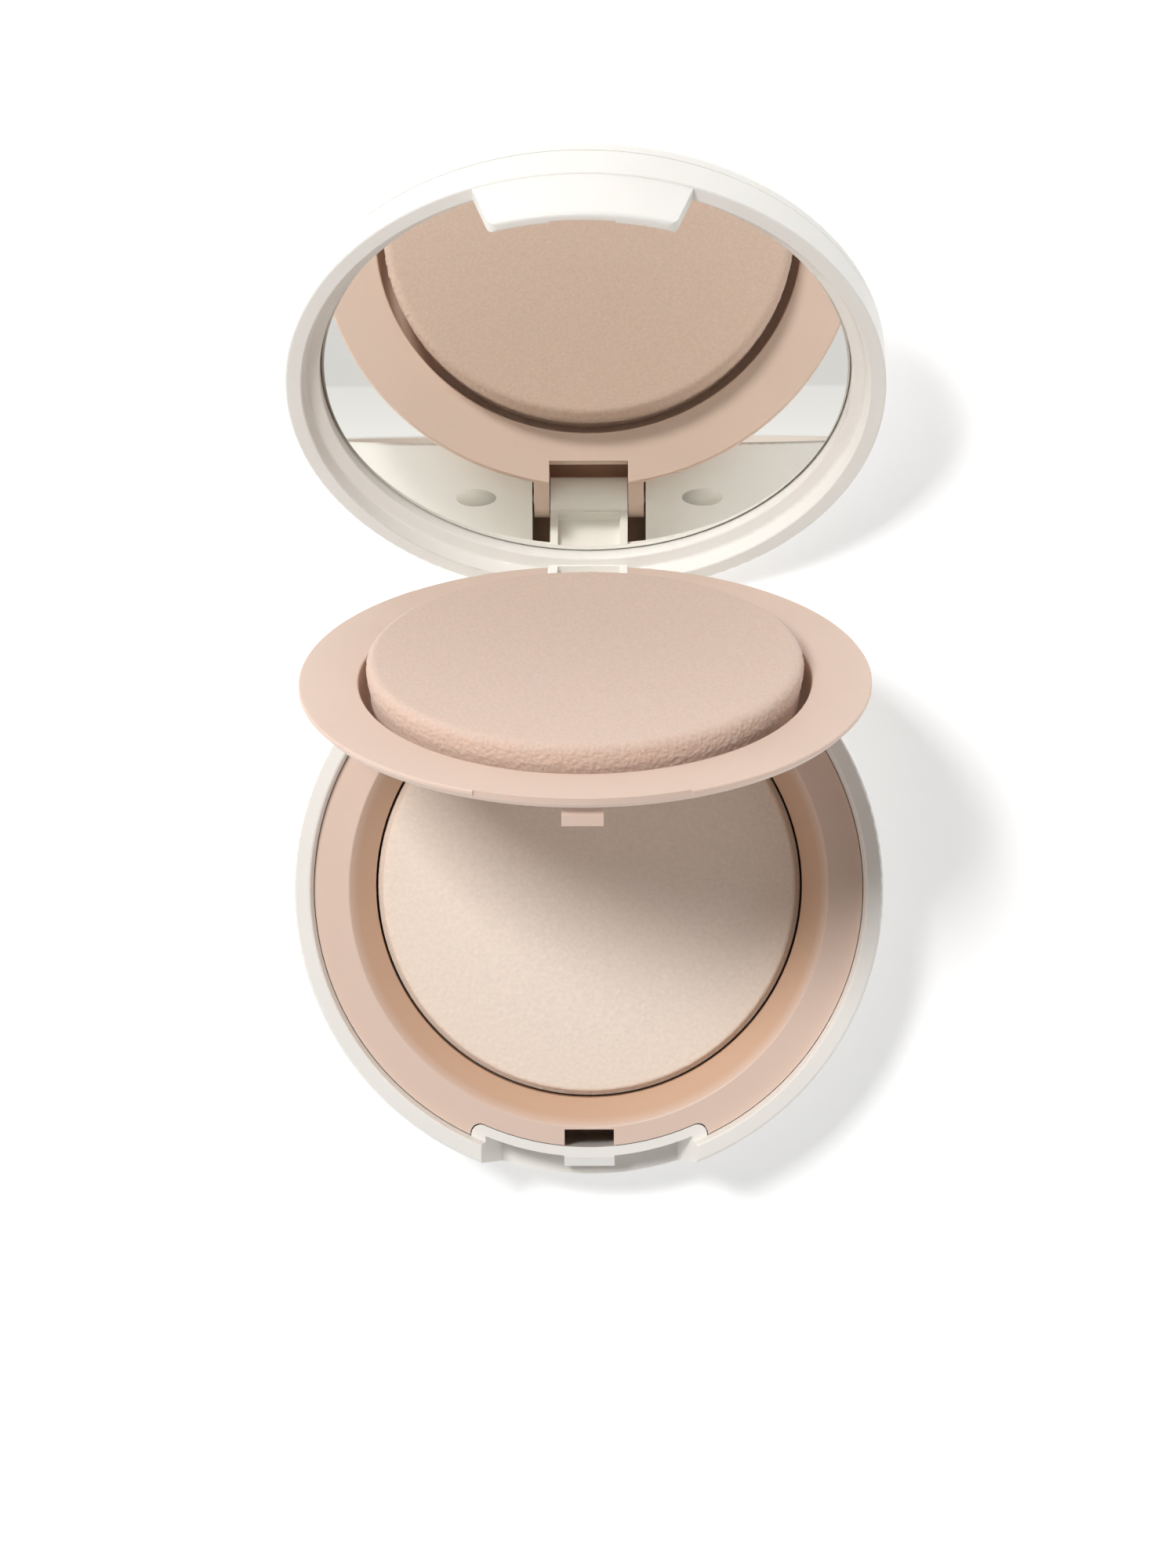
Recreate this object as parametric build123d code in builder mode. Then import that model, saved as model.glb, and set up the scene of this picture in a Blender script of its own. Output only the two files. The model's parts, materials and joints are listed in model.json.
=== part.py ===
from build123d import *
import os
from math import asin, atan2, degrees, hypot, sqrt

# A round powder compact: a drum base with a refill of pressed powder, a puff tray and a
# mirror lid that turn on one hinge line. Millimetres, origin at the centre of the flat
# underside, +Z up, hinge at +Y, latch tab at -Y. Every piece is drawn where it lies in the
# closed compact. Lid and tray pieces are drawn on planes that are swung about the hinge
# line to the angle at which they stand open. "Depth" is measured down from the base's rim.

# ---- overall sizes ------------------------------------------------------------------
compact_radius = 37.5
base_height = 18.3
lid_height = 5.9
lid_dome = 0.6
lid_flat_radius = 4.0
parting_gap = 0.1
lid_stop = 135.0
lid_table_clearance = 0.2
tray_open = 69.0

# ---- hinge --------------------------------------------------------------------------
hinge_inset = 3.3
hinge_depth = 7.0
knuckle_radius = 2.6
pin_radius = 0.8
pin_length = 9.5
pin_end = 11.0
pin_chamfer = 0.2
pin_running_clearance = 0.05
pin_press_clearance = 0.01
pin_entry_radius = 1.15
tongue_width = 10.0
arm_width = 2.0
arm_side_clearance = 0.1
cheek_side_clearance = 0.25

# ---- base shell ---------------------------------------------------------------------
base_draft = 0.4
base_corner = 1.6
base_floor = 1.5
rim_land = 2.1
mouth_taper = 0.4
edge_round = 0.25
rim_round = 0.3
ledge_width = 1.0
ledge_height = 1.2
cheek_width = 5.2
cheek_front_clearance = 0.2
pocket_sill = 3.0
swing_clearance = 0.2
scoop_half_width = 25.3
scoop_steps = 5
scoop_above = 50
scoop_below = 60

# ---- latch notch in the base's front, and the lid's tab that closes it ---------------
tab_root_width = 26.7
tab_tip_width = 22.4
tab_length = 6.9
tab_thickness = 1.5
tab_inset = 0.25
tab_corner = 1.4
tab_pocket_width = 8.0
tab_pocket_depth = 0.55
notch_side_clearance = 0.4
notch_depth = 8.0
liner_inset = 4.4
liner_thickness = 1.2
liner_side = 1.3
liner_corner = 1.2
catch_width = 6.4
catch_reach = 1.75
catch_height = 4.4

# ---- refill case --------------------------------------------------------------------
ring_sink = 1.65
flange_thickness = 1.15
refill_fit = 0.1
bevel_radius = 30.5
bevel_depth = 4.75
well_radius = 27.3
well_wall = 1.1
well_depth = 11.5
well_floor = 0.9
snap_slot_width = 6.3
snap_slot_length = 2.2
snap_slot_depth = 4.0
rear_cut_clearance = 0.1

# ---- pan and powder -----------------------------------------------------------------
adhesive_thickness = 0.15
adhesive_radius = 18.0
pan_gap = 0.3
pan_sheet = 0.3
pan_height = 4.2
cake_overhang = 0.25
cake_edge_height = 0.75
cake_crown = 0.55
cake_shoulder = 1.1

# ---- puff tray ----------------------------------------------------------------------
tray_fit = 0.25
tray_thickness = 1.5
tray_edge = 0.5
tray_edge_bevel = 0.95
tray_front_width = 28.0
tray_front_inset = 0.3
recess_radius = 27.8
recess_depth = 4.0
recess_draft = 0.3
recess_corner = 2.4
cup_wall = 1.1
tray_notch_depth = 3.5
snap_width = 5.0
snap_length = 3.3
snap_thickness = 1.3
snap_relief = 0.15

# ---- puff ---------------------------------------------------------------------------
puff_radius = 26.75
puff_proud = 3.1
puff_top_round = 0.9
puff_bottom_round = 2.3
puff_seat_gap = 0.05

# ---- lid ----------------------------------------------------------------------------
lid_radius_inset = 0.05
cover_inset = 0.05
cover_parting = 4.0
cover_edge_round = 1.0
cover_fit = 0.05
cover_wall = 1.1
mirror_radius = 33.0
mirror_fit = 0.2
mirror_depth = 3.6
mirror_thickness = 1.0
mirror_bevel = 0.3
tape_thickness = 0.15
tape_inset = 3.0
lip_step_depth = 1.9
lip_step_width = 2.5
lip_inner_depth = 2.4
rib_width = 1.0
rib_depth = 1.2
rib_setback = 0.2

# ---- places that follow from the sizes -----------------------------------------------
rim_z = base_height
hinge_y = compact_radius - hinge_inset
hinge_z = rim_z - hinge_depth
mouth_radius = compact_radius - rim_land
bore_radius = mouth_radius - mouth_taper
ring_top = rim_z - ring_sink
ring_underside = ring_top - flange_thickness
ledge_radius = bore_radius - ledge_width
ledge_z = ring_underside - ledge_height
arm_inner = tongue_width / 2 + arm_side_clearance
arm_outer = arm_inner + arm_width
cheek_inner = arm_outer + cheek_side_clearance
cheek_outer = cheek_inner + cheek_width
cheek_front = hinge_y - knuckle_radius - cheek_front_clearance
tab_radius = compact_radius - tab_inset
tab_taper = (tab_root_width - tab_tip_width) / 2 / tab_length
notch_root_width = tab_root_width + 2 * notch_side_clearance
notch_floor = rim_z - notch_depth
liner_inner = compact_radius - liner_inset
liner_outer = liner_inner + liner_thickness
flange_front = liner_inner - refill_fit
tray_radius = mouth_radius - tray_fit
tray_under = rim_z - tray_thickness
recess_floor = rim_z - recess_depth
cup_under = recess_floor - cup_wall
well_floor_z = rim_z - well_depth
pan_bottom = well_floor_z + adhesive_thickness
pan_top = pan_bottom + pan_height
pan_outer = well_radius - pan_gap
pan_inner = pan_outer - pan_sheet
bevel_bottom = ring_top - bevel_depth
lid_z = rim_z + parting_gap
lid_radius = compact_radius - lid_radius_inset
cover_radius = lid_radius - cover_inset
cover_low = lid_z + cover_parting
cover_shoulder = lid_z + lid_height
mirror_seat = mirror_radius + mirror_fit
mirror_front = lid_z + mirror_depth
mirror_back = mirror_front + mirror_thickness
tape_radius = mirror_radius - tape_inset
cover_ceiling = mirror_back + tape_thickness
# The lid opens to its stop, or as far as its outer edge can go down towards the table.
edge_behind = cover_radius - cover_edge_round - hinge_y
edge_above = cover_shoulder - cover_edge_round - hinge_z
edge_drop = (hinge_z - cover_edge_round - lid_table_clearance) / hypot(edge_behind, edge_above)
lid_table_angle = degrees(atan2(edge_above, edge_behind) + asin(min(edge_drop, 1)))
lid_open = min(lid_stop, lid_table_angle)


def swung(plane, angle):
    """The plane, carried about the hinge line by the angle that its body stands open."""
    hinge = Location((0, hinge_y, hinge_z))
    turn = Location((0, 0, 0), (-angle, 0, 0))
    return Plane(hinge * turn * hinge.inverse() * plane.location)


def tray_sweep(x):
    """How far from the hinge line the tray's lower edge stays at this distance off centre."""
    reach = []
    for radius, depth in ((tray_radius, tray_edge), (tray_radius - tray_edge_bevel, tray_thickness)):
        behind = sqrt(radius**2 - x**2) - hinge_y
        reach.append(hypot(min(behind, 0), hinge_depth - depth))
    return min(reach) - swing_clearance


lid_section = swung(Plane.XZ, lid_open)
lid_side = swung(Plane.YZ, lid_open)
lid_axis = Axis(lid_section.origin, swung(Plane.XY, lid_open).z_dir)
tray_section = swung(Plane.XZ, tray_open)
tray_side = swung(Plane.YZ, tray_open)
tray_axis = Axis(tray_section.origin, swung(Plane.XY, tray_open).z_dir)
hinge_line = Axis((0, hinge_y, hinge_z), (1, 0, 0))

os.makedirs("parts", exist_ok=True)

# ---- tools that cut or fill the base's front and rear ---------------------------------
# The latch notch: a flared gap through the front wall, stopped by the liner's arc.
notch_floor_width = notch_root_width - 2 * tab_taper * notch_depth
notch_top = rim_z + 1
notch_top_width = notch_root_width + 2 * tab_taper
with BuildPart() as notch_space:
    with BuildSketch(Plane.XZ):
        with BuildLine():
            FilletPolyline(
                (-notch_top_width / 2, notch_top),
                (-notch_floor_width / 2, notch_floor),
                (notch_floor_width / 2, notch_floor),
                (notch_top_width / 2, notch_top),
                radius=[0, edge_round, edge_round, 0],
                close=True,
            )
        make_face()
    extrude(amount=compact_radius + rim_land)
    with BuildSketch():
        Circle(liner_outer)
    extrude(amount=notch_top, mode=Mode.SUBTRACT)

# The scoop in the rear rim: the room that the tray's rear edge swings through.
scoop_reach = 2 * hinge_depth
scoop_step = (scoop_half_width - cheek_inner) / scoop_steps
scoop_stations = [cheek_inner + scoop_step * step for step in range(scoop_steps + 1)]
scoop_edge = [(x, tray_sweep(x)) for x in scoop_stations]
scoop_plane = Plane(
    origin=(0, hinge_y, hinge_z), x_dir=(1, 0, 0), z_dir=(0, -1, 0)
).rotated((scoop_above, 0, 0))
with BuildPart() as scoop_space:
    with BuildSketch(scoop_plane):
        with BuildLine():
            Polyline(
                *[(-x, reach) for x, reach in reversed(scoop_edge)],
                *scoop_edge,
                (scoop_half_width, scoop_reach),
                (-scoop_half_width, scoop_reach),
                close=True,
            )
        make_face()
    revolve(axis=hinge_line, revolution_arc=-(scoop_above + scoop_below))

# ---- base shell -----------------------------------------------------------------------
liner_span = notch_root_width + 2 * liner_side
wall_middle = bore_radius + rim_land / 2
with BuildPart() as base_shell:
    with BuildSketch(Plane.XZ):
        with BuildLine():
            FilletPolyline(
                (0, 0),
                (compact_radius - base_draft, 0),
                (compact_radius, rim_z),
                (mouth_radius, rim_z),
                (bore_radius, ring_top),
                (bore_radius, ring_underside),
                (ledge_radius, ring_underside),
                (ledge_radius, ledge_z),
                (bore_radius, ledge_z - ledge_width),
                (bore_radius, base_floor),
                (0, base_floor),
                radius=[0, base_corner, rim_round, edge_round, 0, 0, 0, 0, 0, 0, 0],
                close=True,
            )
        make_face()
    revolve(axis=Axis.Z)

    # cheeks that carry the hinge pins
    with BuildSketch(Plane.XY.offset(base_floor)):
        for side in (-1, 1):
            with Locations((side * (cheek_inner + cheek_outer) / 2, cheek_front)):
                Rectangle(cheek_width, compact_radius, align=(Align.CENTER, Align.MIN))
        Circle(wall_middle, mode=Mode.INTERSECT)
    extrude(amount=ledge_z - base_floor)

    # liner behind the latch notch, flush with the refill's flange
    with BuildSketch(Plane.XY.offset(base_floor)):
        with Locations((0, -compact_radius)):
            Rectangle(liner_span, compact_radius)
        Circle(wall_middle, mode=Mode.INTERSECT)
        Circle(liner_inner, mode=Mode.SUBTRACT)
        fillet(vertices().group_by(Axis.Y)[-1], liner_corner)
    extrude(amount=ring_top - base_floor)
    add(notch_space.part, mode=Mode.SUBTRACT)

    # catch block: a wedge on the liner with a sharp lower edge
    catch_low = ring_top - catch_height
    with BuildSketch(Plane.YZ):
        with BuildLine():
            FilletPolyline(
                (-liner_inner - liner_thickness / 2, ring_top),
                (-liner_outer - edge_round, ring_top),
                (-liner_outer - catch_reach, catch_low),
                (-liner_inner - liner_thickness / 2, catch_low),
                radius=[0, edge_round, 0, 0],
                close=True,
            )
        make_face()
    extrude(amount=catch_width / 2, both=True)

    # rear: pocket for the knuckles, scoop for the tray, bores for the pins
    with BuildSketch(Plane.XY.offset(pocket_sill)):
        with Locations((0, cheek_front)):
            Rectangle(2 * cheek_inner, compact_radius, align=(Align.CENTER, Align.MIN))
    extrude(amount=rim_z, mode=Mode.SUBTRACT)
    add(scoop_space.part, mode=Mode.SUBTRACT)
    with BuildSketch(Plane.YZ):
        with Locations((hinge_y, hinge_z)):
            Circle(pin_radius + pin_press_clearance)
    extrude(amount=pin_end, both=True, mode=Mode.SUBTRACT)
    for side in (-1, 1):
        with BuildSketch(Plane.YZ.offset(side * pin_end)):
            with Locations((hinge_y, hinge_z)):
                Circle(pin_entry_radius)
        extrude(amount=side * compact_radius, mode=Mode.SUBTRACT)

base_shell.part.label = "base_shell"
export_step(base_shell.part, "parts/base_shell.step")

# ---- hinge pins -----------------------------------------------------------------------
for name, side in (("hinge_pin_left", -1), ("hinge_pin_right", 1)):
    with BuildPart() as hinge_pin:
        with BuildSketch(Plane.YZ.offset(side * pin_end)):
            with Locations((hinge_y, hinge_z)):
                Circle(pin_radius)
        extrude(amount=-side * pin_length)
        chamfer(hinge_pin.edges().filter_by(GeomType.CIRCLE), pin_chamfer)
    hinge_pin.part.label = name
    export_step(hinge_pin.part, f"parts/{name}.step")

# ---- refill case ----------------------------------------------------------------------
bevel_lean = (bevel_radius - well_radius) / bevel_depth
with BuildPart() as refill_case:
    with BuildSketch(Plane.XZ):
        with BuildLine():
            FilletPolyline(
                (0, well_floor_z),
                (well_radius, well_floor_z),
                (well_radius, bevel_bottom),
                (bevel_radius, ring_top),
                (bore_radius - refill_fit, ring_top),
                (bore_radius - refill_fit, ring_underside),
                (bevel_radius + well_wall - bevel_lean * flange_thickness, ring_underside),
                (well_radius + well_wall, bevel_bottom),
                (well_radius + well_wall, base_floor),
                (well_radius, base_floor),
                (well_radius, well_floor_z - well_floor),
                (0, well_floor_z - well_floor),
                radius=[0, edge_round, 0, edge_round, 0, 0, 0, 0, 0, 0, 0, 0],
                close=True,
            )
        make_face()
    revolve(axis=Axis.Z)

    # the flange steps in round the liner
    with BuildSketch(Plane.XY.offset(ring_top)):
        with Locations((0, -compact_radius)):
            Rectangle(liner_span + 2 * refill_fit, compact_radius)
        Circle(flange_front, mode=Mode.SUBTRACT)
        fillet(vertices().group_by(Axis.Y)[-1], liner_corner)
    extrude(amount=-bevel_depth, mode=Mode.SUBTRACT)

    # slot for the tray's snap, and the gap for the hinge knuckles
    with BuildSketch(Plane.XY.offset(ring_top)):
        with Locations((0, -flange_front + snap_slot_length)):
            Rectangle(snap_slot_width, compact_radius, align=(Align.CENTER, Align.MAX))
    extrude(amount=-snap_slot_depth, mode=Mode.SUBTRACT)
    with BuildSketch(Plane.XY.offset(ring_top)):
        with Locations((0, cheek_front - rear_cut_clearance)):
            Rectangle(
                2 * (cheek_inner + rear_cut_clearance),
                compact_radius,
                align=(Align.CENTER, Align.MIN),
            )
    extrude(amount=-bevel_depth, mode=Mode.SUBTRACT)

refill_case.part.label = "refill_case"
export_step(refill_case.part, "parts/refill_case.step")

# ---- adhesive disc, pan and pressed powder ----------------------------------------------
with BuildPart() as pan_adhesive:
    with BuildSketch(Plane.XY.offset(well_floor_z)):
        Circle(adhesive_radius)
    extrude(amount=adhesive_thickness)
pan_adhesive.part.label = "pan_adhesive"
export_step(pan_adhesive.part, "parts/pan_adhesive.step")

with BuildPart() as powder_pan:
    with BuildSketch(Plane.XZ):
        with BuildLine():
            FilletPolyline(
                (0, pan_bottom),
                (pan_outer, pan_bottom),
                (pan_outer, pan_top),
                (pan_inner, pan_top),
                (pan_inner, pan_bottom + pan_sheet),
                (0, pan_bottom + pan_sheet),
                radius=[0, 2 * pan_sheet, 0, 0, pan_sheet, 0],
                close=True,
            )
        make_face()
    revolve(axis=Axis.Z)
powder_pan.part.label = "powder_pan"
export_step(powder_pan.part, "parts/powder_pan.step")

cake_radius = pan_outer + cake_overhang - pan_sheet / 2
cake_edge = pan_top + cake_edge_height
with BuildPart() as powder_cake:
    with BuildSketch(Plane.XZ):
        with BuildLine():
            FilletPolyline(
                (0, pan_bottom + pan_sheet),
                (pan_inner, pan_bottom + pan_sheet),
                (pan_inner, pan_top),
                (cake_radius, pan_top),
                (cake_radius, cake_edge - cake_shoulder / 3),
                (cake_radius - cake_shoulder, cake_edge),
                (0, cake_edge + cake_crown),
                radius=[0, pan_sheet, 0, 0, cake_shoulder / 3, 2 * cake_shoulder, 0],
                close=True,
            )
        make_face()
    revolve(axis=Axis.Z)
powder_cake.part.label = "powder_cake"
export_step(powder_cake.part, "parts/powder_cake.step")

# ---- puff tray ----------------------------------------------------------------------------
cup_radius = recess_radius + cup_wall
with BuildPart() as tray:
    with BuildSketch(tray_section):
        with BuildLine():
            FilletPolyline(
                (0, recess_floor),
                (recess_radius - recess_draft, recess_floor),
                (recess_radius, rim_z),
                (tray_radius, rim_z),
                (tray_radius, rim_z - tray_edge),
                (tray_radius - tray_edge_bevel, tray_under),
                (cup_radius, tray_under),
                (cup_radius - recess_draft, cup_under),
                (0, cup_under),
                radius=[0, recess_corner, edge_round, edge_round, 0, edge_round, edge_round,
                        recess_corner + cup_wall, 0],
                close=True,
            )
        make_face()
    revolve(axis=tray_axis)

    # the front of the plate is set back for the lid's tab, between two radial steps
    tray_flat = swung(Plane.XY.offset(rim_z), tray_open)
    with BuildSketch(tray_flat):
        with BuildLine():
            Polyline(
                (0, 0),
                (-tray_front_width / 2, -tray_radius),
                (0, -2 * tray_radius),
                (tray_front_width / 2, -tray_radius),
                close=True,
            )
        make_face()
        Circle(tray_radius - tray_front_inset, mode=Mode.SUBTRACT)
    extrude(amount=-tray_thickness, mode=Mode.SUBTRACT)

    # the rear notch, in which the lid's tongue stands
    with BuildSketch(tray_flat):
        with Locations((0, tray_radius - tray_notch_depth)):
            Rectangle(2 * arm_inner, compact_radius, align=(Align.CENTER, Align.MIN))
    extrude(amount=-tray_thickness, mode=Mode.SUBTRACT)

    # arms down to the hinge
    for start in (arm_inner, -arm_outer):
        with BuildSketch(tray_side.offset(start)):
            with BuildLine():
                FilletPolyline(
                    (hinge_y - knuckle_radius, hinge_z),
                    (hinge_y - knuckle_radius, tray_under + edge_round),
                    (tray_radius - tray_edge_bevel, tray_under + edge_round),
                    (hinge_y + knuckle_radius, hinge_z),
                    radius=0,
                    close=True,
                )
            make_face()
            with Locations((hinge_y, hinge_z)):
                Circle(knuckle_radius)
                Circle(pin_radius + pin_running_clearance, mode=Mode.SUBTRACT)
        extrude(amount=arm_width)

    # snap that hooks into the refill's slot
    snap_front = -liner_inner + 2 * refill_fit + arm_side_clearance
    with BuildSketch(tray_side):
        with BuildLine():
            FilletPolyline(
                (snap_front + snap_thickness, tray_under + edge_round),
                (snap_front + snap_relief, tray_under + edge_round),
                (snap_front + snap_relief, tray_under - snap_length / 3),
                (snap_front, tray_under - snap_length / 2),
                (snap_front, tray_under - snap_length + edge_round),
                (snap_front + snap_thickness / 2, tray_under - snap_length),
                (snap_front + snap_thickness, tray_under - snap_length),
                radius=[0, 0, edge_round, edge_round / 2, 0, 0, 0],
                close=True,
            )
        make_face()
    extrude(amount=snap_width / 2, both=True)

tray.part.label = "tray"
export_step(tray.part, "parts/tray.step")

# ---- puff -----------------------------------------------------------------------------
puff_bottom = recess_floor + puff_seat_gap
puff_top = rim_z + puff_proud
with BuildPart() as puff:
    with BuildSketch(tray_section):
        with BuildLine():
            FilletPolyline(
                (0, puff_bottom),
                (puff_radius, puff_bottom),
                (puff_radius, puff_top),
                (0, puff_top),
                radius=[0, puff_bottom_round, puff_top_round, 0],
                close=True,
            )
        make_face()
    revolve(axis=tray_axis)
puff.part.label = "puff"
export_step(puff.part, "parts/puff.step")

# ---- latch tab of the lid, before it joins the frame ---------------------------------------
tab_tip = lid_z - tab_length
tab_root = lid_z + lip_step_depth / 2
tab_root_extra = tab_taper * (tab_root - lid_z)
with BuildPart() as lid_tab:
    with BuildSketch(lid_section):
        with BuildLine():
            FilletPolyline(
                (tab_radius - tab_thickness, tab_tip),
                (tab_radius, tab_tip),
                (tab_radius, tab_root),
                (tab_radius - tab_thickness, tab_root),
                radius=[tab_thickness / 4, tab_thickness / 3, 0, 0],
                close=True,
            )
        make_face()
    revolve(axis=lid_axis)
    with BuildSketch(lid_section):
        with BuildLine():
            FilletPolyline(
                (-tab_root_width / 2 - tab_root_extra, tab_root),
                (-tab_tip_width / 2, tab_tip),
                (tab_tip_width / 2, tab_tip),
                (tab_root_width / 2 + tab_root_extra, tab_root),
                radius=[0, tab_corner, tab_corner, 0],
                close=True,
            )
        make_face()
    extrude(amount=compact_radius, mode=Mode.INTERSECT)
    # pocket that passes over the catch block
    with BuildSketch(swung(Plane.XY.offset(tab_tip), lid_open)):
        with Locations((0, -compact_radius)):
            Rectangle(tab_pocket_width, compact_radius)
        Circle(tab_radius - tab_thickness + tab_pocket_depth, mode=Mode.INTERSECT)
    extrude(amount=tab_length, mode=Mode.SUBTRACT)

# ---- lid frame --------------------------------------------------------------------------
spigot_radius = cover_radius - cover_wall
rib_face = hinge_y - rib_setback
with BuildPart() as lid_frame:
    with BuildSketch(lid_section):
        with BuildLine():
            FilletPolyline(
                (mouth_radius, lid_z),
                (lid_radius, lid_z),
                (lid_radius, cover_low),
                (spigot_radius - cover_fit, cover_low),
                (spigot_radius - cover_fit, cover_ceiling),
                (mirror_seat, cover_ceiling),
                (mirror_seat, lid_z + lip_inner_depth),
                (mouth_radius - lip_step_width / 5, lid_z + lip_step_depth),
                radius=[edge_round, edge_round, edge_round / 2, 0, 0, 0, edge_round,
                        2 * edge_round],
                close=True,
            )
        make_face()
    revolve(axis=lid_axis)
    add(lid_tab.part)

    # tongue down to the hinge, with a channel between two ribs
    with BuildSketch(lid_side):
        with BuildLine():
            FilletPolyline(
                (rib_face, lid_z + lip_inner_depth),
                (compact_radius - rim_land / 2, lid_z + lip_inner_depth),
                (compact_radius - tab_inset, lid_z + edge_round),
                (hinge_y + knuckle_radius, hinge_z),
                (rib_face, hinge_z),
                radius=0,
                close=True,
            )
        make_face()
        with Locations((hinge_y, hinge_z)):
            Circle(knuckle_radius)
            Circle(pin_radius + pin_running_clearance, mode=Mode.SUBTRACT)
    extrude(amount=tongue_width / 2, both=True)
    with BuildSketch(lid_side):
        with BuildLine():
            FilletPolyline(
                (rib_face + rib_depth, lid_z + lip_step_depth),
                (rib_face + rib_depth, hinge_z + knuckle_radius + edge_round),
                (rib_face - rib_depth, hinge_z + knuckle_radius + edge_round),
                (rib_face - rib_depth, lid_z + lip_step_depth),
                radius=[0, edge_round, 0, 0],
                close=True,
            )
        make_face()
    extrude(amount=tongue_width / 2 - rib_width, both=True, mode=Mode.SUBTRACT)

lid_frame.part.label = "lid_frame"
export_step(lid_frame.part, "parts/lid_frame.step")

# ---- lid cover --------------------------------------------------------------------------
dome_edge = cover_radius - cover_edge_round
dome_sphere = (dome_edge**2 + lid_dome**2) / (2 * lid_dome)
dome_middle = sqrt(dome_sphere**2 - (dome_edge / 2) ** 2) - dome_sphere + lid_dome
dome_top = sqrt(dome_sphere**2 - lid_flat_radius**2) - dome_sphere + lid_dome
with BuildPart() as lid_cover:
    with BuildSketch(lid_section):
        with BuildLine():
            Polyline(
                (lid_flat_radius, cover_shoulder + dome_top),
                (0, cover_shoulder + dome_top),
                (0, cover_ceiling),
                (spigot_radius, cover_ceiling),
                (spigot_radius, cover_low + parting_gap),
                (cover_radius, cover_low + parting_gap),
                (cover_radius, cover_shoulder - cover_edge_round),
            )
            TangentArc(
                (cover_radius, cover_shoulder - cover_edge_round),
                (dome_edge, cover_shoulder),
                tangent=(0, 1),
            )
            ThreePointArc(
                (dome_edge, cover_shoulder),
                (dome_edge / 2, cover_shoulder + dome_middle),
                (lid_flat_radius, cover_shoulder + dome_top),
            )
        make_face()
    revolve(axis=lid_axis)
lid_cover.part.label = "lid_cover"
export_step(lid_cover.part, "parts/lid_cover.step")

# ---- mirror and its tape ------------------------------------------------------------------
with BuildPart() as mirror_tape:
    with BuildSketch(swung(Plane.XY.offset(mirror_back), lid_open)):
        Circle(tape_radius)
    extrude(amount=tape_thickness)
mirror_tape.part.label = "mirror_tape"
export_step(mirror_tape.part, "parts/mirror_tape.step")

with BuildPart() as mirror:
    with BuildSketch(lid_section):
        with BuildLine():
            Polyline(
                (0, mirror_front),
                (mirror_radius - mirror_bevel, mirror_front),
                (mirror_radius, mirror_front + mirror_bevel),
                (mirror_radius, mirror_back),
                (0, mirror_back),
                close=True,
            )
        make_face()
    revolve(axis=lid_axis)
mirror.part.label = "mirror"
export_step(mirror.part, "parts/mirror.step")
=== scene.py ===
import json
import math

import bmesh
import bpy
from mathutils import Matrix, Vector, noise


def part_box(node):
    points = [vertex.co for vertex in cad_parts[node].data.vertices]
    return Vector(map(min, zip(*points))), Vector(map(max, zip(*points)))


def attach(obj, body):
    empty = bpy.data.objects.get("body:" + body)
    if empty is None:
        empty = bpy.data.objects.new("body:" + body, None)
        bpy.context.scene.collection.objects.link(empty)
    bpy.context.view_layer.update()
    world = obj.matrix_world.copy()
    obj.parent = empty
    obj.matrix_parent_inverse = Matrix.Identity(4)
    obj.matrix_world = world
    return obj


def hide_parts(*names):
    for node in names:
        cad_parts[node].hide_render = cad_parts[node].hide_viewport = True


# A round powder compact, open, on a pale floor. Metres, in the frame of the CAD model.
# The hard pieces are the CAD model's own; the pressed powder and the foam puff are
# modelled here, and every piece gets its finish here.

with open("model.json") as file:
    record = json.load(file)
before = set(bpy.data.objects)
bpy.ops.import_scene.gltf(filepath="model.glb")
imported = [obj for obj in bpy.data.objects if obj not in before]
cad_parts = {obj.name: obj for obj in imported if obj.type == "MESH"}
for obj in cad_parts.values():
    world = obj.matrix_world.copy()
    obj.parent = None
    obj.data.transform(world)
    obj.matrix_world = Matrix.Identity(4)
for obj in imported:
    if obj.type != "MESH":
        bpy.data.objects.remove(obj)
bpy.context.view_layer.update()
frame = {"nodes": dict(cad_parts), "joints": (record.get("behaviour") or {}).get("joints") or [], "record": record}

MM = 0.001


# ---- places read from the frame -----------------------------------------------------
def joint(name):
    """The joint of that name in the frame."""
    return next(j for j in frame["joints"] if j["name"] == name)


def opened(name):
    """The matrix that carries a closed body to where its joint holds it at rest."""
    hinge = joint(name)
    pivot = Vector(hinge["pos_m"])
    turn = Matrix.Rotation(-math.radians(hinge["range_deg"][1]), 4, Vector(hinge["axis"]))
    return Matrix.Translation(pivot) @ turn @ Matrix.Translation(-pivot)


rim_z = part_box("base_shell")[1].z
tray_opened = opened("tray_hinge")


# ---- shader nodes -------------------------------------------------------------------
def material(name, colour, roughness, **sockets):
    """A new Principled material: the material, its node tree and its shader node."""
    made = bpy.data.materials.new(name)
    made.use_nodes = True
    made.diffuse_color = (*colour, 1)
    tree = made.node_tree
    shader = tree.nodes["Principled BSDF"]
    shader.inputs["Base Color"].default_value = (*colour, 1)
    shader.inputs["Roughness"].default_value = roughness
    for socket, value in sockets.items():
        shader.inputs[socket.replace("_", " ")].default_value = value
    return made, tree, shader


def node(tree, kind, **values):
    """A node of that kind. Values name its inputs, with _ for a space."""
    made = tree.nodes.new(kind)
    for name, value in values.items():
        made.inputs[name.replace("_", " ")].default_value = value
    return made


def places(tree):
    """The object's own coordinates, in metres."""
    return tree.nodes.new("ShaderNodeTexCoord").outputs["Object"]


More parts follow.
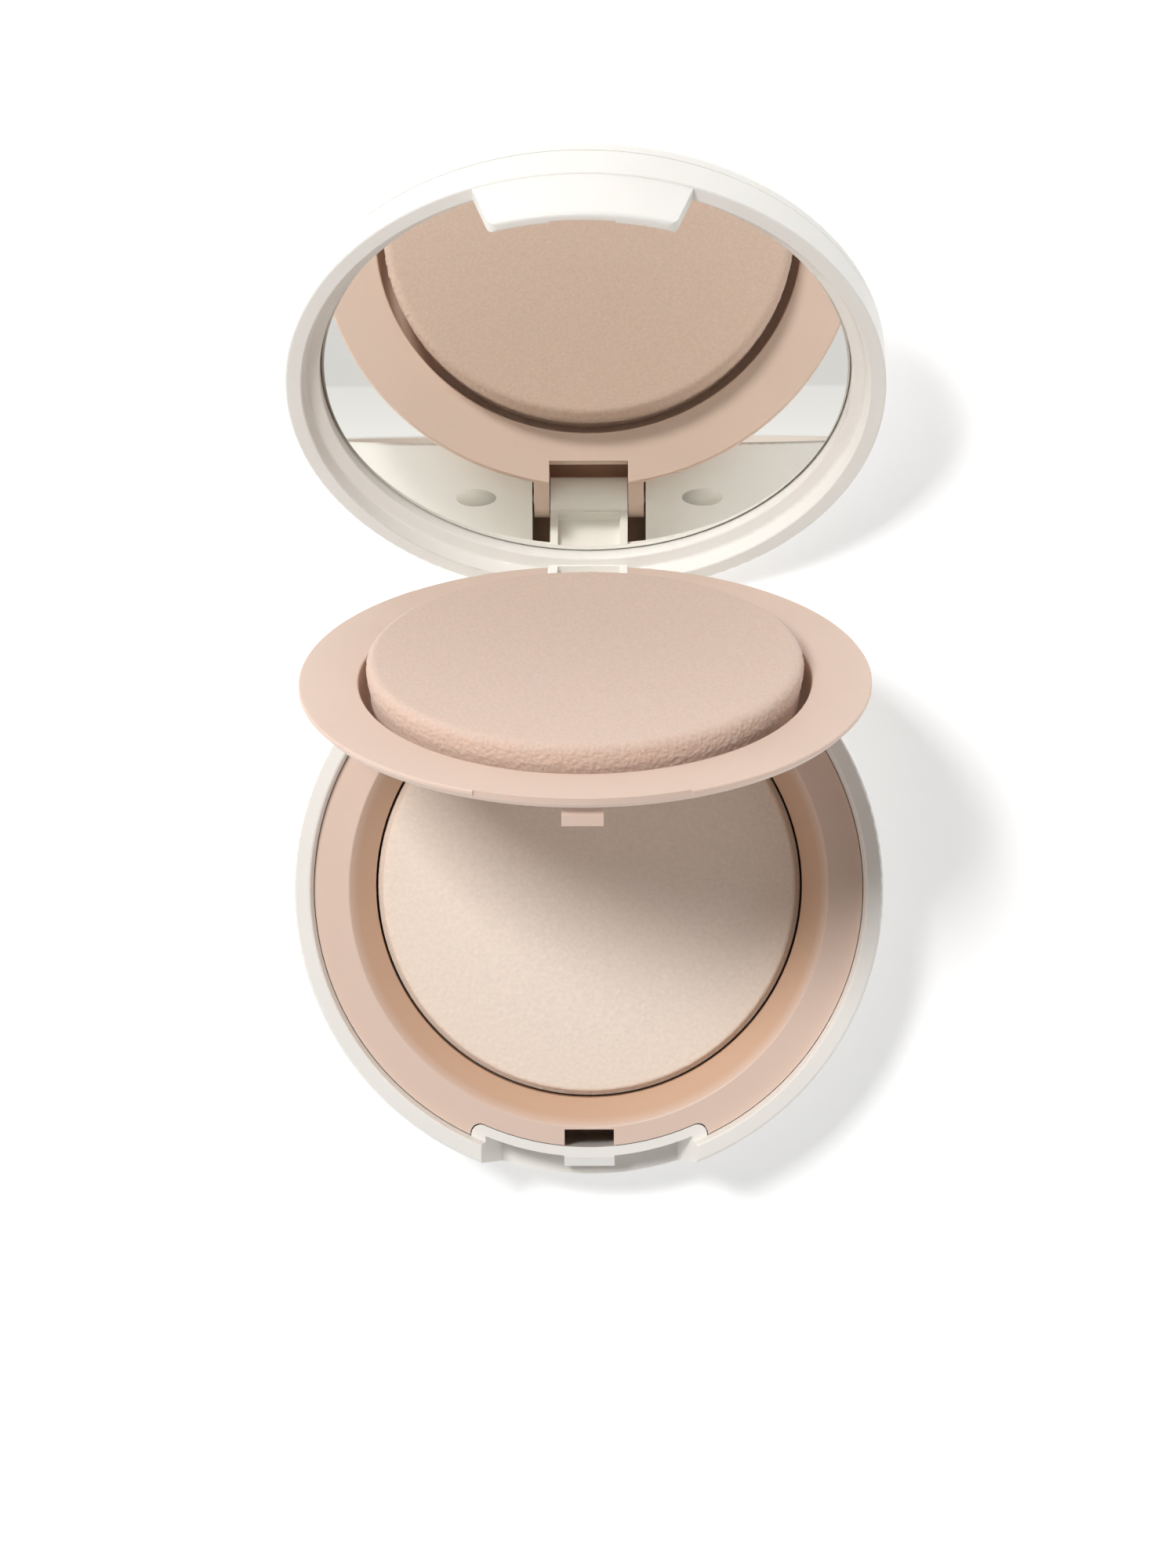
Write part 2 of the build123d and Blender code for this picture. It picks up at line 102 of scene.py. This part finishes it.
def noise_field(tree, size, detail=2.0, roughness=0.5):
    """A noise whose features are about that size, in metres."""
    made = node(tree, "ShaderNodeTexNoise", Scale=1 / size, Detail=detail, Roughness=roughness)
    tree.links.new(places(tree), made.inputs["Vector"])
    return made.outputs["Fac"]


def grain_field(tree, size):
    """Cells of about that size, in metres, as the distance from each cell's middle."""
    made = node(tree, "ShaderNodeTexVoronoi", Scale=1 / size)
    made.feature = "SMOOTH_F1"
    tree.links.new(places(tree), made.inputs["Vector"])
    return made.outputs["Distance"]


def ramp(tree, field, low, high, stops=(0.3, 0.7)):
    """The field as a colour that runs from low to high between two stops."""
    made = tree.nodes.new("ShaderNodeValToRGB")
    for element, place, colour in zip(made.color_ramp.elements, stops, (low, high)):
        element.position = place
        element.color = (*colour, 1)
    tree.links.new(field, made.inputs["Fac"])
    return made.outputs["Color"]


def spread(tree, field, low, high):
    """The field, from 0 to 1, as a value from low to high."""
    made = node(tree, "ShaderNodeMapRange", To_Min=low, To_Max=high)
    tree.links.new(field, made.inputs["Value"])
    return made.outputs["Result"]


def bump(tree, shader, *layers):
    """Bumps the shader by layers of (field, height in metres), one on another."""
    last = None
    for field, height in layers:
        made = node(tree, "ShaderNodeBump", Strength=1.0, Distance=height)
        tree.links.new(field, made.inputs["Height"])
        if last:
            tree.links.new(last.outputs["Normal"], made.inputs["Normal"])
        last = made
    tree.links.new(last.outputs["Normal"], shader.inputs["Normal"])


def shade(colour, factor):
    """The colour, lighter or darker by that factor."""
    return tuple(min(1.0, part * factor) for part in colour)


# ---- materials ----------------------------------------------------------------------
ivory = (0.91, 0.885, 0.835)
blush = (0.78, 0.60, 0.50)
powder_colour = (0.91, 0.79, 0.68)
foam_colour = (0.74, 0.56, 0.46)
# Painted shade: the darker brown painted on the refill's bevel and well, where shade falls.
painted_bevel_shade = (0.69, 0.46, 0.32)
blush_roughness = 0.46
blush_grain = 0.005 * MM


def moulded_plastic(name, colour, roughness, depth):
    """Satin moulded plastic, as material, tree and shader: faint flow, spark-eroded grain."""
    made, tree, shader = material(
        name, colour, roughness,
        Subsurface_Weight=0.12, Subsurface_Scale=0.8 * MM, Specular_IOR_Level=0.45,
    )
    shader.inputs["Subsurface Radius"].default_value = (1.0, 0.6, 0.4)
    flow = noise_field(tree, 12 * MM)
    colours = ramp(tree, flow, shade(colour, 0.985), shade(colour, 1.015))
    tree.links.new(colours, shader.inputs["Base Color"])
    wear = noise_field(tree, 2.5 * MM, detail=4)
    tree.links.new(spread(tree, wear, roughness - 0.05, roughness + 0.05), shader.inputs["Roughness"])
    bump(tree, shader, (noise_field(tree, 0.12 * MM), depth))
    return made, tree, shader


def pressed_powder():
    """Pressed powder: a leather-like grain from the press cloth over fine loose dust."""
    made, tree, shader = material(
        "pressed_powder", powder_colour, 0.85,
        Specular_IOR_Level=0.2, Sheen_Weight=0.15, Sheen_Roughness=0.6,
    )
    tone = ramp(tree, noise_field(tree, 0.5 * MM, detail=5), shade(powder_colour, 0.96),
                shade(powder_colour, 1.04))
    tree.links.new(tone, shader.inputs["Base Color"])
    grain = (grain_field(tree, 0.55 * MM), 0.03 * MM)
    dust = (noise_field(tree, 0.15 * MM), 0.015 * MM)
    bump(tree, shader, grain, dust)
    return made


def foam():
    """Open-celled foam: soft and dull, with pores."""
    made, tree, shader = material(
        "puff_foam", foam_colour, 0.9,
        Specular_IOR_Level=0.15, Sheen_Weight=0.2, Sheen_Roughness=0.5,
        Subsurface_Weight=0.15, Subsurface_Scale=1.0 * MM,
    )
    tone = ramp(tree, noise_field(tree, 0.4 * MM, detail=4), shade(foam_colour, 0.95),
                shade(foam_colour, 1.05))
    tree.links.new(tone, shader.inputs["Base Color"])
    bump(tree, shader, (noise_field(tree, 0.35 * MM, detail=3), 0.04 * MM))
    return made


def silvered_glass():
    """A back-silvered mirror, seen as bright polished metal."""
    made, tree, shader = material("mirror_glass", (0.88, 0.87, 0.83), 0.01, Metallic=1.0)
    haze = noise_field(tree, 9 * MM, detail=3)
    tree.links.new(spread(tree, haze, 0.0, 0.02), shader.inputs["Roughness"])
    return made


def drawn_metal(name, colour, roughness):
    """Drawn or pressed sheet metal, with a fine uneven sheen."""
    made, tree, shader = material(name, colour, roughness, Metallic=1.0)
    lines = noise_field(tree, 0.2 * MM, detail=3)
    tree.links.new(spread(tree, lines, roughness - 0.08, roughness + 0.08), shader.inputs["Roughness"])
    bump(tree, shader, (lines, 0.003 * MM))
    return made


def adhesive_film():
    """A thin clear adhesive film, seen only at its edge."""
    made, tree, shader = material("adhesive", (0.82, 0.82, 0.78), 0.4)
    tree.links.new(spread(tree, noise_field(tree, 1 * MM), 0.35, 0.5), shader.inputs["Roughness"])
    return made


finishes = {
    "ivory_shell": moulded_plastic("ivory_shell", ivory, 0.42, 0.004 * MM)[0],
    "blush_plastic": moulded_plastic("blush_plastic", blush, blush_roughness, blush_grain)[0],
    "pin_steel": drawn_metal("pin_steel", (0.62, 0.62, 0.63), 0.3),
    "pan_aluminium": drawn_metal("pan_aluminium", (0.8, 0.8, 0.8), 0.35),
    "pressed_powder": pressed_powder(),
    "puff_foam": foam(),
    "adhesive": adhesive_film(),
    "mirror_glass": silvered_glass(),
}
# Heights of the painted shade on the refill: full painted shade low in the well, plain blush at the top.
painted_shade_bottom = rim_z - 4.5 * MM
painted_shade_top = rim_z - 1.7 * MM


def refill_plastic_painted_shade():
    """The refill's plastic with painted shade: darker and browner from its flange down to the well, where shade
    falls.
    """
    made, tree, shader = moulded_plastic("blush_refill_painted_shade", blush, blush_roughness, blush_grain)
    depth = tree.nodes.new("ShaderNodeSeparateXYZ")
    tree.links.new(places(tree), depth.inputs["Vector"])
    painted_shade_fall = node(tree, "ShaderNodeMapRange", From_Min=painted_shade_bottom, From_Max=painted_shade_top)
    tree.links.new(depth.outputs["Z"], painted_shade_fall.inputs["Value"])
    # Painted shade: the bevel colour low in the well, blending to plain blush towards the flange.
    painted_shade_tint = ramp(tree, painted_shade_fall.outputs["Result"], painted_bevel_shade, blush, (0.45, 1.0))
    tree.links.new(painted_shade_tint, shader.inputs["Base Color"])
    return made


for part in frame["record"]["subparts"]:
    mesh = frame["nodes"][part["node"]].data
    mesh.materials.clear()
    mesh.materials.append(finishes[part["material_slot"]])
# The refill's plastic carries painted shade down its bevel into the well.
refill_mesh = frame["nodes"]["refill_case"].data
refill_mesh.materials.clear()
refill_mesh.materials.append(refill_plastic_painted_shade())


# ---- pieces turned about an axis ------------------------------------------------------
def turned(name, rings, turns, lift):
    """A closed round piece: rings of (radius, height) joined in turns steps, moved by lift."""
    build = bmesh.new()
    loops = []
    for radius, height in rings:
        loop = []
        for step in range(turns if radius > 0 else 1):
            angle = 2 * math.pi * step / turns
            place = Vector((radius * math.cos(angle), radius * math.sin(angle), height))
            loop.append(build.verts.new(lift(place)))
        loops.append(loop)
    for inner, outer in zip(loops, loops[1:]):
        for step in range(turns):
            corners = [inner[step % len(inner)], outer[step % len(outer)],
                       outer[(step + 1) % len(outer)], inner[(step + 1) % len(inner)]]
            corners = list(dict.fromkeys(corners))
            build.faces.new(corners)
    bmesh.ops.recalc_face_normals(build, faces=build.faces)
    made = bpy.data.meshes.new(name)
    build.to_mesh(made)
    build.free()
    made.polygons.foreach_set("use_smooth", [True] * len(made.polygons))
    piece = bpy.data.objects.new(name, made)
    bpy.context.scene.collection.objects.link(piece)
    return piece


def arc_rings(centre, radius, start, end, steps):
    """Points of an arc in the (radius, height) plane, from one angle in degrees to another."""
    angles = [math.radians(start + (end - start) * step / steps) for step in range(steps + 1)]
    return [(centre[0] + radius * math.cos(a), centre[1] + radius * math.sin(a)) for a in angles]


# ---- powder ---------------------------------------------------------------------------
powder_low, powder_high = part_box("powder_cake")
powder_radius = powder_high.x
powder_top = powder_high.z
powder_crown = 0.55 * MM
powder_shoulder = 1.1 * MM
powder_grain = 0.5 * MM
powder_relief = 0.03 * MM
powder_band = 1.3 * MM
powder_crumble = 0.09 * MM
powder_crumbs_per_metre = 2600
powder_skirt = 1.3 * MM
powder_skirt_inset = 0.1 * MM
powder_foot_inset = 0.5 * MM
powder_turns = 1100
powder_ring_count = 190


def powder_lift(place):
    """Leather-like pressed grain on top, and a crumbled edge."""
    reach = math.hypot(place.x, place.y)
    grain = noise.noise(place / powder_grain) + 0.5 * noise.noise(place / (2 * powder_grain))
    edge = max(0.0, 1 - (powder_radius - reach) / powder_band)
    crumbs = place * powder_crumbs_per_metre
    crumble = noise.noise(crumbs) + 0.5 * noise.noise(2 * crumbs)
    return place + Vector((0, 0, grain * powder_relief + edge * crumble * powder_crumble))


powder_rings = [(0, powder_top)]
flat_radius = powder_radius - powder_shoulder
for ring in range(1, powder_ring_count + 1):
    radius = flat_radius * ring / powder_ring_count
    powder_rings.append((radius, powder_top - powder_crown * (radius / flat_radius) ** 2))
powder_rings += arc_rings((flat_radius, powder_top - powder_crown - powder_shoulder * 0.5),
                          powder_shoulder * 0.5, 80, 0, 6)
powder_rings += [
    (powder_radius - powder_skirt_inset, powder_top - powder_skirt),
    (powder_radius - powder_foot_inset, powder_low.z),
    (0, powder_low.z),
]
powder = turned("powder_cake_pressed", powder_rings, powder_turns, powder_lift)
powder.data.materials.append(finishes["pressed_powder"])
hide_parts("powder_cake")
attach(powder, "base")

# ---- puff -----------------------------------------------------------------------------
puff_radius = (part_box("puff")[1].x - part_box("puff")[0].x) / 2
puff_sunk = 3.95 * MM
puff_proud = 3.1 * MM
puff_bottom = rim_z - puff_sunk
puff_top = rim_z + puff_proud
puff_top_round = 1.15 * MM
puff_bottom_round = 2.3 * MM
puff_undercut = 0.45 * MM
puff_side_low = rim_z - 0.8 * MM
puff_side_high = puff_top - puff_top_round
puff_flat = puff_radius - puff_top_round
puff_face_rings = 70
puff_side_rings = 20
puff_turns = 1300
puff_cells_per_metre = 2100
puff_fine_cells_per_metre = 4300
puff_side_relief = 0.12 * MM
puff_face_relief = 0.012 * MM


def puff_lift(place):
    """Foam: a finely pored face, and a side that was cut and shows its cells."""
    reach = math.hypot(place.x, place.y)
    side = min(1.0, max(0.0, (reach - puff_flat) / puff_top_round))
    cells = noise.noise(place * puff_cells_per_metre)
    cells += 0.7 * noise.noise(place * puff_fine_cells_per_metre)
    outward = Vector((place.x, place.y, 0)).normalized() if reach > 0 else Vector()
    moved = outward * (cells * side * puff_side_relief) + Vector((0, 0, cells * puff_face_relief))
    return tray_opened @ (place + moved)


puff_rings = [(0, puff_top)]
for ring in range(1, puff_face_rings + 1):
    puff_rings.append((puff_flat * ring / puff_face_rings, puff_top))
puff_rings += arc_rings((puff_flat, puff_side_high), puff_top_round, 80, 0, 10)
for ring in range(1, puff_side_rings + 1):
    down = ring / puff_side_rings
    side_radius = puff_radius - puff_undercut * down**2
    puff_rings.append((side_radius, puff_side_high - down * (puff_side_high - puff_side_low)))
puff_foot = puff_radius - puff_undercut - puff_bottom_round
puff_rings += arc_rings((puff_foot, puff_bottom + puff_bottom_round), puff_bottom_round, 0, -90, 8)
puff_rings.append((0, puff_bottom))
puff = turned("puff_foam_disc", puff_rings, puff_turns, puff_lift)
puff.data.materials.append(finishes["puff_foam"])
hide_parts("puff")
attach(puff, "tray")


# ---- floor ----------------------------------------------------------------------------
# Painted light: the floor glows faintly, though it is no lamp, and more away from the compact, so that it and its
# image in the mirror come out white; the glow also lightens the floor's shadows and lights the compact.
floor_half = 3.0
floor_gap = 0.02 * MM
floor_near = 0.045
floor_far = 0.15
floor_glow_near = 0.38
floor_glow_far = 0.56
floor_mesh = bpy.data.meshes.new("floor")
floor_signs = ((-1, -1), (1, -1), (1, 1), (-1, 1))
floor_corners = [(x * floor_half, y * floor_half, -floor_gap) for x, y in floor_signs]
floor_mesh.from_pydata(floor_corners, [], [(0, 1, 2, 3)])
floor = bpy.data.objects.new("floor", floor_mesh)
bpy.context.scene.collection.objects.link(floor)
floor_paint, floor_tree, floor_shader = material(
    "floor_paint", (0.93, 0.93, 0.93), 0.9, Emission_Color=(1, 1, 1, 1))
floor_reach = floor_tree.nodes.new("ShaderNodeVectorMath")
floor_reach.operation = "LENGTH"
floor_tree.links.new(places(floor_tree), floor_reach.inputs[0])
floor_glow = node(
    floor_tree, "ShaderNodeMapRange", From_Min=floor_near, From_Max=floor_far,
    To_Min=floor_glow_near, To_Max=floor_glow_far,
)
floor_tree.links.new(floor_reach.outputs["Value"], floor_glow.inputs["Value"])
floor_tree.links.new(floor_glow.outputs["Result"], floor_shader.inputs["Emission Strength"])
floor_mesh.materials.append(floor_paint)

# ---- light ----------------------------------------------------------------------------
world = bpy.data.worlds.new("studio")
bpy.context.scene.world = world
world.use_nodes = True
world_tree = world.node_tree
sky = world_tree.nodes["Background"]
sky.inputs["Strength"].default_value = 1.0
bearing = world_tree.nodes.new("ShaderNodeTexCoord")
height = world_tree.nodes.new("ShaderNodeSeparateXYZ")
world_tree.links.new(bearing.outputs["Generated"], height.inputs["Vector"])
horizon = (0.76, 0.76, 0.76)
zenith = (0.14, 0.14, 0.14)
sky_ramp = ramp(world_tree, height.outputs["Z"], horizon, zenith, (0.2, 0.75))
world_tree.links.new(sky_ramp, sky.inputs["Color"])


def softbox(name, place, target, size, power):
    """A square area light at place, facing target."""
    data = bpy.data.lights.new(name, "AREA")
    data.shape = "SQUARE"
    data.size = size
    data.energy = power
    lamp = bpy.data.objects.new(name, data)
    lamp.location = place
    lamp.rotation_euler = (Vector(target) - Vector(place)).to_track_quat("-Z", "Y").to_euler()
    bpy.context.scene.collection.objects.link(lamp)


focus = (0, 0.02, 0.02)
softbox("key", (-0.40, 0.43, 1.12), focus, 0.27, 10.5)

# ---- camera ---------------------------------------------------------------------------
camera_distance = 0.820
camera_side = math.radians(0.678)
camera_lean = math.radians(4.943)
camera_roll = math.radians(0.171)
camera_target = Vector((0, 0.013528, rim_z))
camera_data = bpy.data.cameras.new("camera")
camera_data.sensor_width = 36
camera_data.lens = 148.662
camera_data.clip_start = 0.01
camera_data.clip_end = 50
camera = bpy.data.objects.new("camera", camera_data)
bpy.context.scene.collection.objects.link(camera)
camera.location = (
    camera_distance * math.tan(camera_side),
    camera_distance * math.tan(camera_lean),
    camera_distance + rim_z,
)
towards = (camera_target - camera.location).normalized()
right = towards.cross(Vector((0, 1, 0))).normalized()
upward = right.cross(towards)
turn = Matrix.Rotation(camera_roll, 3, towards)
right, upward = turn @ right, turn @ upward
camera.rotation_euler = Matrix((right, upward, -towards)).transposed().to_euler()
bpy.context.scene.camera = camera
bpy.context.scene.view_settings.view_transform = "Standard"
